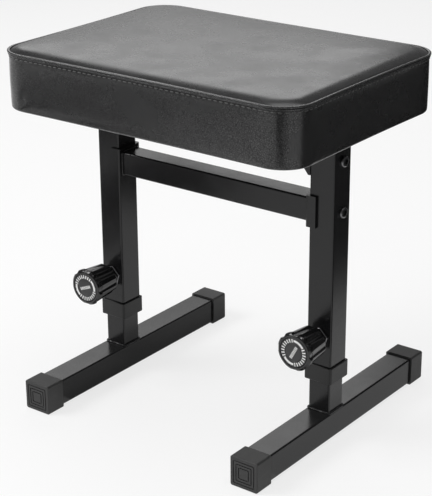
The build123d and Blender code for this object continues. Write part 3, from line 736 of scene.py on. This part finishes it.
ring_way, rim_length = way_round(ring_xy)
corner_way = ring_way[[0, COLUMNS_X, COLUMNS_X + COLUMNS_Y, 2 * COLUMNS_X + COLUMNS_Y]] + FOLD_SHIFT
from_corner = way_from(ring_way, corner_way, rim_length)
groove = np.exp(-(from_corner / FOLD_HALF) ** 2)
ridges = np.exp(-((np.abs(from_corner) - RIDGE_AWAY) / RIDGE_HALF) ** 2)
folds = (FOLD_DEPTH * (RIDGE_SHARE * ridges - groove)).sum(axis=1)
round_rim = 2 * pi * ring_way / rim_length
waves = WAVE_HEIGHT * sum(share * np.sin(count * round_rim + phase) for count, phase, share in BAND_WAVES)
down_band = np.clip((SEAM_LEVEL - row_z) / band_height, 0, 1)
over_board = np.clip((row_z - SEAT_BOTTOM - BOARD_CLEAR) / FADE, 0, 1)
fullness = np.sin(pi * down_band) ** FULLNESS_POWER * over_board

band_now = cover_now[panel_count:under_first].reshape(band_rows, ring_count, 3)
sunk = ((band_now[..., :2] - band[..., :2]) * ring_out).sum(axis=-1)
band_now[..., :2] += np.maximum(-MOST_SUNK - sunk, 0)[..., None] * ring_out
band_now[..., :2] += (fullness[:, None] * (folds + waves))[..., None] * ring_out
panel_now = cover_now[:panel_count]
panel_x, panel_y = panel_now[:, 0], panel_now[:, 1]
inset_now = inset_from_edge(panel_now[:, :2] - SEAT_CENTRE)
panel_now[:, 2] += PANEL_WAVE * np.clip(inset_now / PANEL_FADE, 0, 1) * sum(
    share * np.sin(along_x * panel_x + along_y * panel_y + phase)
    for along_x, along_y, phase, share in PANEL_WAVES)
inside_hem = inset_from_edge(cover_now[under_first:, :2] - SEAT_CENTRE) > UNDER_INSET
cover_now[under_first:, 2] += np.where(inside_hem, UNDER_LIFT, 0)
cover.data.vertices.foreach_set("co", cover_now.astype(np.float32).ravel())
cover.data.update()
rounder = cover.modifiers.new("rounder", "SUBSURF")
rounder.levels = rounder.render_levels = 1
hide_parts("seat_top_panel", "seat_side_band", "seat_foam")
print("top of the seat at", round(panel_now[:, 2].max() / MM, 1), "mm")

# %% [markdown]
# ### Piping, stitches and hem
# Two flattened cords lie in the seam: the piping, a cord wrapped in vinyl, and below it the turned edge of
# the band. Below them runs a row of stitches through the band, each a small grain of thread that dips at both
# ends. Under the seat the band turns in and is stapled to the board. Its hem is pleated at the corners and
# widens there until it nearly meets the dust cloth.

# %% Piping and turned edge in the seam
CORD_POWER, CORD_SIDES, CORD_STEPS_X, CORD_STEPS_Y = 0.7, 16, 190, 140
PIPING_WIDE, PIPING_TALL, PIPING_OUT, PIPING_RAISED = 1.7 * MM, 1.25 * MM, 0.3 * MM, 0.95 * MM
TURNED_WIDE, TURNED_TALL, TURNED_OUT, TURNED_RAISED = 1.4 * MM, 1.15 * MM, -0.1 * MM, -1.45 * MM


def fine_rim(count_x, count_y, grow):
    """The rim as evenly stepped points, moved out, with its outward directions."""
    u, v = np.linspace(-1, 1, count_x + 1), np.linspace(-1, 1, count_y + 1)
    one_x, one_y = np.ones(count_x), np.ones(count_y)
    run_u = np.concatenate([u[:-1], one_y, u[:0:-1], -one_y])
    run_v = np.concatenate([-one_x, v[:-1], one_x, v[:0:-1]])
    xy, out, _ = seat_plan(run_u, run_v)
    return xy + grow * out + SEAT_CENTRE, out


def rim_cord(name, wide, tall, out_by, raised):
    """A superellipse carried along the rim: the cosine and sine of a circle, each to one power, times the
    half sizes."""
    xy, out = fine_rim(CORD_STEPS_X, CORD_STEPS_Y, out_by)
    circle = heading(full_circle(CORD_SIDES))
    profile = np.array([wide, tall]) * np.sign(circle) * np.abs(circle) ** CORD_POWER
    points = carry(xy, SEAM_LEVEL + raised, out, profile)
    faces = grid_faces(len(xy), CORD_SIDES, close_rows=True)[:, ::-1]
    return make_piece(name, points, faces, "black_vinyl", "seat_frame")


piping = rim_cord("seat_piping", PIPING_WIDE, PIPING_TALL, PIPING_OUT, PIPING_RAISED)
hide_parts("seat_welt")
rim_cord("band_turned_edge", TURNED_WIDE, TURNED_TALL, TURNED_OUT, TURNED_RAISED)
print("piping length", round(rim_length, 3), "m")

# %% Stitches below the seam
STITCH_PITCH, STITCH_LENGTH, STITCH_RADIUS = 7.0 * MM, 5.4 * MM, 0.60 * MM
STITCH_ROW, STITCH_PROUD, STITCH_DIP = 3, 0.1 * MM, 0.4 * MM
GRAIN_RINGS, GRAIN_SIDES, GRAIN_BLUNT = 7, 6, 1.02


def make_grains(name, centres, ways, outs, length, radius, dip, worn):
    """Thread grains or staples: a circle along each way, thinning at both ends by a square root and dipping
    by a parabola."""
    t = np.linspace(-1, 1, GRAIN_RINGS)[:, None]
    spine = centres[:, None] + ways[:, None] * t * length / 2 - outs[:, None] * dip * t ** 2
    thin = radius * np.sqrt(GRAIN_BLUNT - t ** 4)[:, None]
    points = spine[:, :, None] + thin * circles(outs, np.cross(ways, outs), GRAIN_SIDES)[:, None]
    faces = repeated(capped_tube(GRAIN_RINGS, GRAIN_SIDES), len(centres), GRAIN_RINGS * GRAIN_SIDES)
    make_piece(name, points, faces, worn, "seat_frame")


def on_rim(values, places):
    """Values on the rim's points, read at places along the rim."""
    return read_along(values, places, ring_way, rim_length)


stitch_ring = band_now[STITCH_ROW]
stitch_count = int(rim_length / STITCH_PITCH)
stitch_way = (np.arange(stitch_count) + 0.5) * rim_length / stitch_count
stitch_along = unit(on_rim(stitch_ring, stitch_way + MM) - on_rim(stitch_ring, stitch_way - MM))
stitch_out = at_height(unit(on_rim(ring_out, stitch_way)), 0.0)
stitch_centre = on_rim(stitch_ring, stitch_way) + STITCH_PROUD * stitch_out
make_grains("seat_stitches", stitch_centre, stitch_along, stitch_out,
            STITCH_LENGTH, STITCH_RADIUS, STITCH_DIP, "seam_thread")
print("stitches:", stitch_count)

# %% Hem under the board
HEM_WIDTH, HEM_PLAIN, HEM_DROP = 22.0 * MM, 14.0 * MM, 0.15 * MM
HEM_FROM_CLOTH, HEM_PASSES = 1.0 * MM, 24
HEM_STEPS_X, HEM_STEPS_Y = 120, 88
HEM_LOWER_SIDE = 8
PLEAT_DEPTH, PLEAT_PITCH, PLEAT_REACH = 0.55 * MM, 9 * MM, 20 * MM
hem_profile = np.array([(-3.4, 0.25), (-6, 0), (-10, 0), (-14, 0), (-18, 0), (-21.4, 0.1), (-22, 0.5),
                        (-21.6, 1.1), (-14, 1.2), (-6, 1.2)]) * MM

hem_xy, hem_out = fine_rim(HEM_STEPS_X, HEM_STEPS_Y, 0.0)
hem_points = carry(hem_xy, SEAT_BOTTOM - HEM_DROP, hem_out, hem_profile)
cloth_low, cloth_high = node_box("seat_dust_cover")
cloth_half = (cloth_high - cloth_low)[:2] / 2
hem_reach = np.full(len(hem_xy), HEM_WIDTH)
for _ in range(HEM_PASSES):
    hem_edge = hem_xy - hem_reach[:, None] * hem_out - SEAT_CENTRE
    hem_reach += np.maximum(-inset_from_edge(hem_edge, cloth_half) - HEM_FROM_CLOTH, 0)
hem_share = np.clip((-hem_profile[:, 0] - HEM_PLAIN) / (HEM_WIDTH - HEM_PLAIN), 0, 1)
hem_points[..., :2] -= ((hem_reach - HEM_WIDTH)[:, None] * hem_share)[..., None] * hem_out[:, None]

hem_way, _ = way_round(hem_xy)
hem_corners = hem_way[[0, HEM_STEPS_X, HEM_STEPS_X + HEM_STEPS_Y, 2 * HEM_STEPS_X + HEM_STEPS_Y]]
near_corner = np.exp(-(way_from(hem_way, hem_corners, rim_length) / PLEAT_REACH) ** 2).sum(axis=1)
pleats = near_corner * (0.5 + 0.5 * np.sin(hem_way * 2 * pi / PLEAT_PITCH))
pleat_share = np.clip(-hem_profile[:HEM_LOWER_SIDE, 0] / HEM_WIDTH, 0, 1)
hem_points[:, :HEM_LOWER_SIDE, 2] -= PLEAT_DEPTH * pleats[:, None] * pleat_share
make_piece("seat_hem", hem_points, grid_faces(len(hem_xy), len(hem_profile), close_rows=True),
           "black_vinyl", "seat_frame")
print("widest hem:", round(hem_reach.max() / MM, 1), "mm")

# %% Staples that hold the hem
STAPLE_COUNT, STAPLE_LENGTH, STAPLE_RADIUS = 44, 11.0 * MM, 0.55 * MM
STAPLE_INSET, STAPLE_DROP, STAPLE_DIP = 14.5 * MM, 0.35 * MM, 0.5 * MM
STAPLE_SLANT, SLANT_STEP = np.radians(8), 7

staple_way = (np.arange(STAPLE_COUNT) + 0.5) * rim_length / STAPLE_COUNT
staple_out = unit(on_rim(ring_out, staple_way))
staple_xy = on_rim(ring_xy, staple_way) - STAPLE_INSET * staple_out + SEAT_CENTRE
slant = (STAPLE_SLANT * np.sin(SLANT_STEP * np.arange(STAPLE_COUNT)))[:, None]
staple_flat = quarter_turn(staple_out) * np.cos(slant) - staple_out * np.sin(slant)
staple_along = at_height(staple_flat, 0.0)
make_grains("hem_staples", at_height(staple_xy, SEAT_BOTTOM - STAPLE_DROP), staple_along,
            np.broadcast_to(-UP, (STAPLE_COUNT, 3)), STAPLE_LENGTH, STAPLE_RADIUS, STAPLE_DIP,
            "bright_zinc")
print("staples:", STAPLE_COUNT)

# %% [markdown]
# ## Knobs
# Each knob is a tapered moulding that a hand pulls and turns. Its outside is a surface of revolution from
# which a round cutter has taken eight flutes, deeper at the back than at the rim. Written as a radius over
# angle and depth, the cut has an exact formula, so the flutes run out through the rim as they do on the
# moulded one.

# %% Shape of the knob
FLUTES, CUTTER = 8, 7.0 * MM
REACH_FRONT, REACH_REAR, CUT_FRONT, CUT_REAR = 27.9 * MM, 23.4 * MM, -2.0 * MM, 40.5 * MM
EDGE_SOFTNESS = 0.22 * MM
KNOB_ANGLES, KNOB_ROUND_STEPS = 192, 5
MOST_CUT = 0.45
# Each corner: the way behind the face, radius, and how far the corner is rounded
KNOB_CORNERS = np.array([
    (22.9, 3.4, 0.2), (22.9, 8.6, 0.3), (38.5, 8.6, 0.4), (38.5, 17.1, 1.6), (36.9, 18.9, 1.6),
    (7.7, 21.2, 0.4), (7.7, 19.7, 0.3), (6.1, 19.7, 0.3), (6.1, 22.5, 0.5), (2.3, 22.5, 0.9),
    (0.0, 20.0, 0.8), (0.0, 17.9, 0.3), (2.1, 17.65, 0.2), (2.1, 3.4, 0.2)]) * MM


def rounded_profile(corners, radius, steps):
    """Cut each corner of a closed polygon with a short curve: the square-law mix of its two cut points and
    the corner."""
    to_before, to_after = np.roll(corners, 1, axis=0) - corners, np.roll(corners, -1, axis=0) - corners
    shorter = np.minimum(np.linalg.norm(to_before, axis=1), np.linalg.norm(to_after, axis=1))
    cut = np.minimum(radius, MOST_CUT * shorter)[:, None]
    start, end = corners + cut * unit(to_before), corners + cut * unit(to_after)
    t = np.linspace(0, 1, steps + 1)[None, :, None]
    curve = (1 - t) ** 2 * start[:, None] + 2 * t * (1 - t) * corners[:, None] + t ** 2 * end[:, None]
    return curve.reshape(-1, 2)


def fluted(radius, back, angle):
    """The smaller of the plain radius and the cutter's near side. That is the reach times the cosine of the
    angle from the flute, less the root of the cutter squared minus the reach times the sine squared. A soft
    minimum rounds the lips."""
    reach = np.interp(back, [CUT_FRONT, CUT_REAR], [REACH_FRONT, REACH_REAR])
    pitch = 2 * pi / FLUTES
    away = (angle + pitch / 2) % pitch - pitch / 2
    inside = CUTTER ** 2 - (reach * np.sin(away)) ** 2
    cut = np.where(inside > 0, reach * np.cos(away) - np.sqrt(np.maximum(inside, 0)), reach)
    lowest = np.minimum(radius, cut)
    both = np.exp((lowest - radius) / EDGE_SOFTNESS) + np.exp((lowest - cut) / EDGE_SOFTNESS)
    return lowest - EDGE_SOFTNESS * np.log(both)


def on_knob(centre, flat, back):
    """Flat places across the knob's axis, a way behind its face."""
    return centre + np.stack([flat[..., 0], np.broadcast_to(back, flat.shape[:-1]), flat[..., 1]], axis=-1)


knob_profile = rounded_profile(KNOB_CORNERS[:, :2], KNOB_CORNERS[:, 2], KNOB_ROUND_STEPS)
knob_back, knob_radius = knob_profile[:, :1], knob_profile[:, 1:]
knob_angle = full_circle(KNOB_ANGLES)
knob_surface = fluted(knob_radius, knob_back, knob_angle)
print("knob radius from", round(knob_surface.min() / MM, 2), "to", round(knob_surface.max() / MM, 2), "mm")

# %% Face insert and its marks
# Each point: the way behind the face, radius
FACE_PROFILE = np.array([
    (2.05, 17.4), (0.5, 17.4), (0.12, 17.25), (0.02, 16.9), (0.0, 14.0), (0.0, 11.5),
    (0.08, 11.2), (0.4, 11.05), (0.4, 10.65), (0.08, 10.5), (0.0, 10.2), (0.0, 6.0)]) * MM
FACE_ANGLES = 96
MARK_HIGH, MARK_SUNK = 0.14 * MM, 0.10 * MM
ARC_SPAN, TICKS, STROKES, MARK_SAMPLES = np.radians(56), 9, 8, 15
ARC_RADIUS, TICK_START, TICK_LENGTH = 14.2 * MM, 11.9 * MM, 4.2 * MM
STROKE_PITCH, STROKE_LENGTH = 2.1 * MM, 3.7 * MM
ARC_HALF, TICK_HALF, STROKE_HALF = 1.25 * MM, 0.68 * MM, 0.58 * MM
ARC_GAP = 0.14


def mark_lines(aim):
    """Centre lines and half widths of the dial's marks: an arc at each end of a row of short strokes, and a
    scale of ticks on both sides of the row. The row points along the aim."""
    s = np.linspace(0, 1, MARK_SAMPLES)
    along = heading(aim)
    both_ends = np.array([aim, aim + pi])[:, None]
    arcs = ARC_RADIUS * heading(both_ends + (s - 0.5) * ARC_SPAN)
    fan = np.linspace(-1, 1, TICKS) * (pi / 2 - ARC_SPAN / 2 - ARC_GAP)
    lean = np.concatenate([aim + pi / 2 + fan, aim - pi / 2 + fan])
    ticks = (TICK_START + TICK_LENGTH * s)[:, None] * heading(lean)[:, None]
    places = (np.arange(STROKES) - (STROKES - 1) / 2) * STROKE_PITCH
    strokes = places[:, None, None] * along + ((s - 0.5) * STROKE_LENGTH)[:, None] * quarter_turn(along)
    half = np.repeat([ARC_HALF, TICK_HALF, STROKE_HALF], [2, 2 * TICKS, STROKES])
    return np.concatenate([arcs, ticks, strokes]), half


def mark_slabs(centre, aim):
    """Each centre line widened to both sides and given a raised top and a sunk bottom."""
    lines, half = mark_lines(aim)
    way = unit(np.gradient(lines, axis=1))
    aside = quarter_turn(way) * half[:, None, None]
    corner_side = np.array([1, 1, -1, -1])
    corner_back = np.array([MARK_SUNK, -MARK_HIGH, -MARK_HIGH, MARK_SUNK])
    flat = lines[:, :, None] + aside[:, :, None] * corner_side[:, None]
    return on_knob(centre, flat, corner_back)


print("marks on a dial:", 2 + 2 * TICKS + STROKES)

# %% Make both knobs
MARK_AIM = {"left": np.radians(22), "right": np.radians(62)}
grip_faces = grid_faces(len(knob_profile), KNOB_ANGLES, close_rows=True)
face_quads = capped_tube(len(FACE_PROFILE), FACE_ANGLES)
knob_flat = knob_surface[..., None] * heading(knob_angle)
face_flat = FACE_PROFILE[:, 1:, None] * heading(full_circle(FACE_ANGLES))
for side in ("left", "right"):
    low, high = node_box(f"{side}_knob")
    middle = np.array([(low[0] + high[0]) / 2, low[1], (low[2] + high[2]) / 2])
    grip = make_piece(f"{side}_knob_grip", on_knob(middle, knob_flat, knob_back), grip_faces,
                      "knob_gloss", f"{side}_knob")
    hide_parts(f"{side}_knob")
    insert = make_piece(f"{side}_knob_insert", on_knob(middle, face_flat, FACE_PROFILE[:, :1]), face_quads,
                        "knob_satin", f"{side}_knob")
    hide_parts(f"{side}_knob_face")
    marks = mark_slabs(middle, MARK_AIM[side])
    mark_faces = repeated(capped_tube(MARK_SAMPLES, 4), len(marks), MARK_SAMPLES * 4)
    make_piece(f"{side}_dial_marks", marks, mark_faces,
               "dial_white", f"{side}_knob", smooth=False)
print("knobs made")

# %% [markdown]
# ## Springs
# In the barrel behind each knob a coil spring presses the pin towards its post. The spring stays put at the
# barrel's front wall and follows the pin at its other end, so it has to shorten as the knob is pulled. A
# solid coil would cut through the pin, so this one is a circle carried along a helix. It belongs to no body
# and keeps its length.

# %% Coils in the barrels
SPRING_TURNS, WIRE_RADIUS, SPRING_STEPS, WIRE_SIDES = 5, 0.6 * MM, 161, 8
SPRING_AXIS = np.array([0.0, 1.0, 0.0])


def spring_coil(low, high):
    """A circle across a helix about Y: angle and depth both grow evenly, and the circle stands on the radial
    direction and on the one square to it and to the wire."""
    share = np.linspace(0, 1, SPRING_STEPS)[:, None]
    angle = 2 * pi * SPRING_TURNS * share
    radius = (high[0] - low[0]) / 2 - WIRE_RADIUS
    rise = high[1] - low[1] - 2 * WIRE_RADIUS
    radial = np.concatenate([np.cos(angle), np.zeros_like(angle), np.sin(angle)], axis=1)
    start = (low + high) / 2 - SPRING_AXIS * rise / 2
    path = start + radius * radial + rise * share * SPRING_AXIS
    square = np.cross(unit(np.gradient(path, axis=0)), radial)
    return path[:, None] + WIRE_RADIUS * circles(radial, square, WIRE_SIDES)


coil_faces = capped_tube(SPRING_STEPS, WIRE_SIDES)
for side in ("left", "right"):
    low, high = node_box(f"{side}_pin_spring")
    x, z = (low[0] + high[0]) / 2, (low[2] + high[2]) / 2
    coil = make_piece(f"{side}_spring_coil", spring_coil(low, high), coil_faces,
                      "bright_zinc", None)
    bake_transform(coil)
    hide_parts(f"{side}_pin_spring")
print("turns of each coil:", SPRING_TURNS)

# %% [markdown]
# ## Weld beads
# The posts are welded to the feet and the crossbar to its channels, and the paint covers the beads. A bead is
# a round cord of paint-covered metal along the joint, with ripples where the welder's pool paused.

# %% Beads round the posts and the crossbar's ends
BEAD_SIDES, BEAD_POINTS, BEAD_CORNER_STEPS, BEAD_SHIFT = 10, 200, 6, 0.3 * MM
RIPPLE_PITCH, RIPPLE_LEAST, RIPPLE_SHARE = 2.6 * MM, 0.80, 0.20
UNEVEN_SHARE, UNEVEN_PER_METRE = 0.08, 1850
POST_GROW, POST_CORNER, POST_BEAD = 0.4 * MM, 3.0 * MM, 2.0 * MM
BAR_GROW, BAR_CORNER, BAR_BEAD = 0.2 * MM, 2.5 * MM, 1.5 * MM


def even_loop(half_a, half_b, corner):
    """A rounded rectangle as evenly spaced points, with outward directions and the way along it."""
    corners = np.array([(-half_a, -half_b), (half_a, -half_b), (half_a, half_b), (-half_a, half_b)])
    rough = rounded_profile(corners, corner, BEAD_CORNER_STEPS)
    way, length = way_round(rough)
    even = np.linspace(0, length, BEAD_POINTS, endpoint=False)
    loop = read_along(rough, even, way, length)
    ahead = unit(np.roll(loop, -1, axis=0) - np.roll(loop, 1, axis=0))
    return loop, -quarter_turn(ahead), even


def weld_bead(name, centre, axes, half_a, half_b, corner, radius, body):
    """A circle carried round the loop in the plane of the first two axes. Its radius ripples with the way
    along, as the size of a sine, and a second, smaller sine makes the ripples uneven."""
    loop, out, way = even_loop(half_a, half_b, corner)
    path = np.asarray(centre) + loop @ axes[:2]
    ripple = RIPPLE_SHARE * np.abs(np.sin(pi * way / RIPPLE_PITCH))
    uneven = UNEVEN_SHARE * np.sin(UNEVEN_PER_METRE * way)
    thick = (radius * (RIPPLE_LEAST + ripple + uneven))[:, None, None]
    points = path[:, None] + thick * circles(out @ axes[:2], axes[2], BEAD_SIDES)
    faces = grid_faces(BEAD_POINTS, BEAD_SIDES, close_rows=True)[:, ::-1]
    make_piece(name, points, faces, "powder_coat", body)


for side in ("left", "right"):
    low, high = node_box(f"{side}_post")
    x, y = (low + high)[:2] / 2
    half_x, half_y = (high - low)[:2] / 2 + POST_GROW
    weld_bead(f"{side}_post_weld", (x, y, low[2] + BEAD_SHIFT), np.eye(3), half_x, half_y,
              POST_CORNER, POST_BEAD, f"{side}_leg")
low, high = node_box("crossbar")
y, z = (low + high)[1:] / 2
half_y, half_z = (high - low)[1:] / 2 + BAR_GROW
for side, end, inward in (("left", low[0], 1), ("right", high[0], -1)):
    axes = np.array([(0, inward, 0), (0, 0, 1), (inward, 0, 0)], float)
    weld_bead(f"{side}_crossbar_weld", (end + inward * BEAD_SHIFT, y, z), axes, half_y, half_z,
              BAR_CORNER, BAR_BEAD, "seat_frame")
print("weld beads: 4")

# %% [markdown]
# ## Measure and finish
# The box of the solids is measured straight after loading and the box of the dressed model at the end, and
# the script prints how much the second grows over the first. The looks may not change the object's size.

# %% Print how much the box grows
seen_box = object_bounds()
cad_size, seen_size = cad_box[1] - cad_box[0], seen_box[1] - seen_box[0]
print("box grows by", [round((b - a) / MM, 2) for a, b in zip(cad_size, seen_size)], "mm")
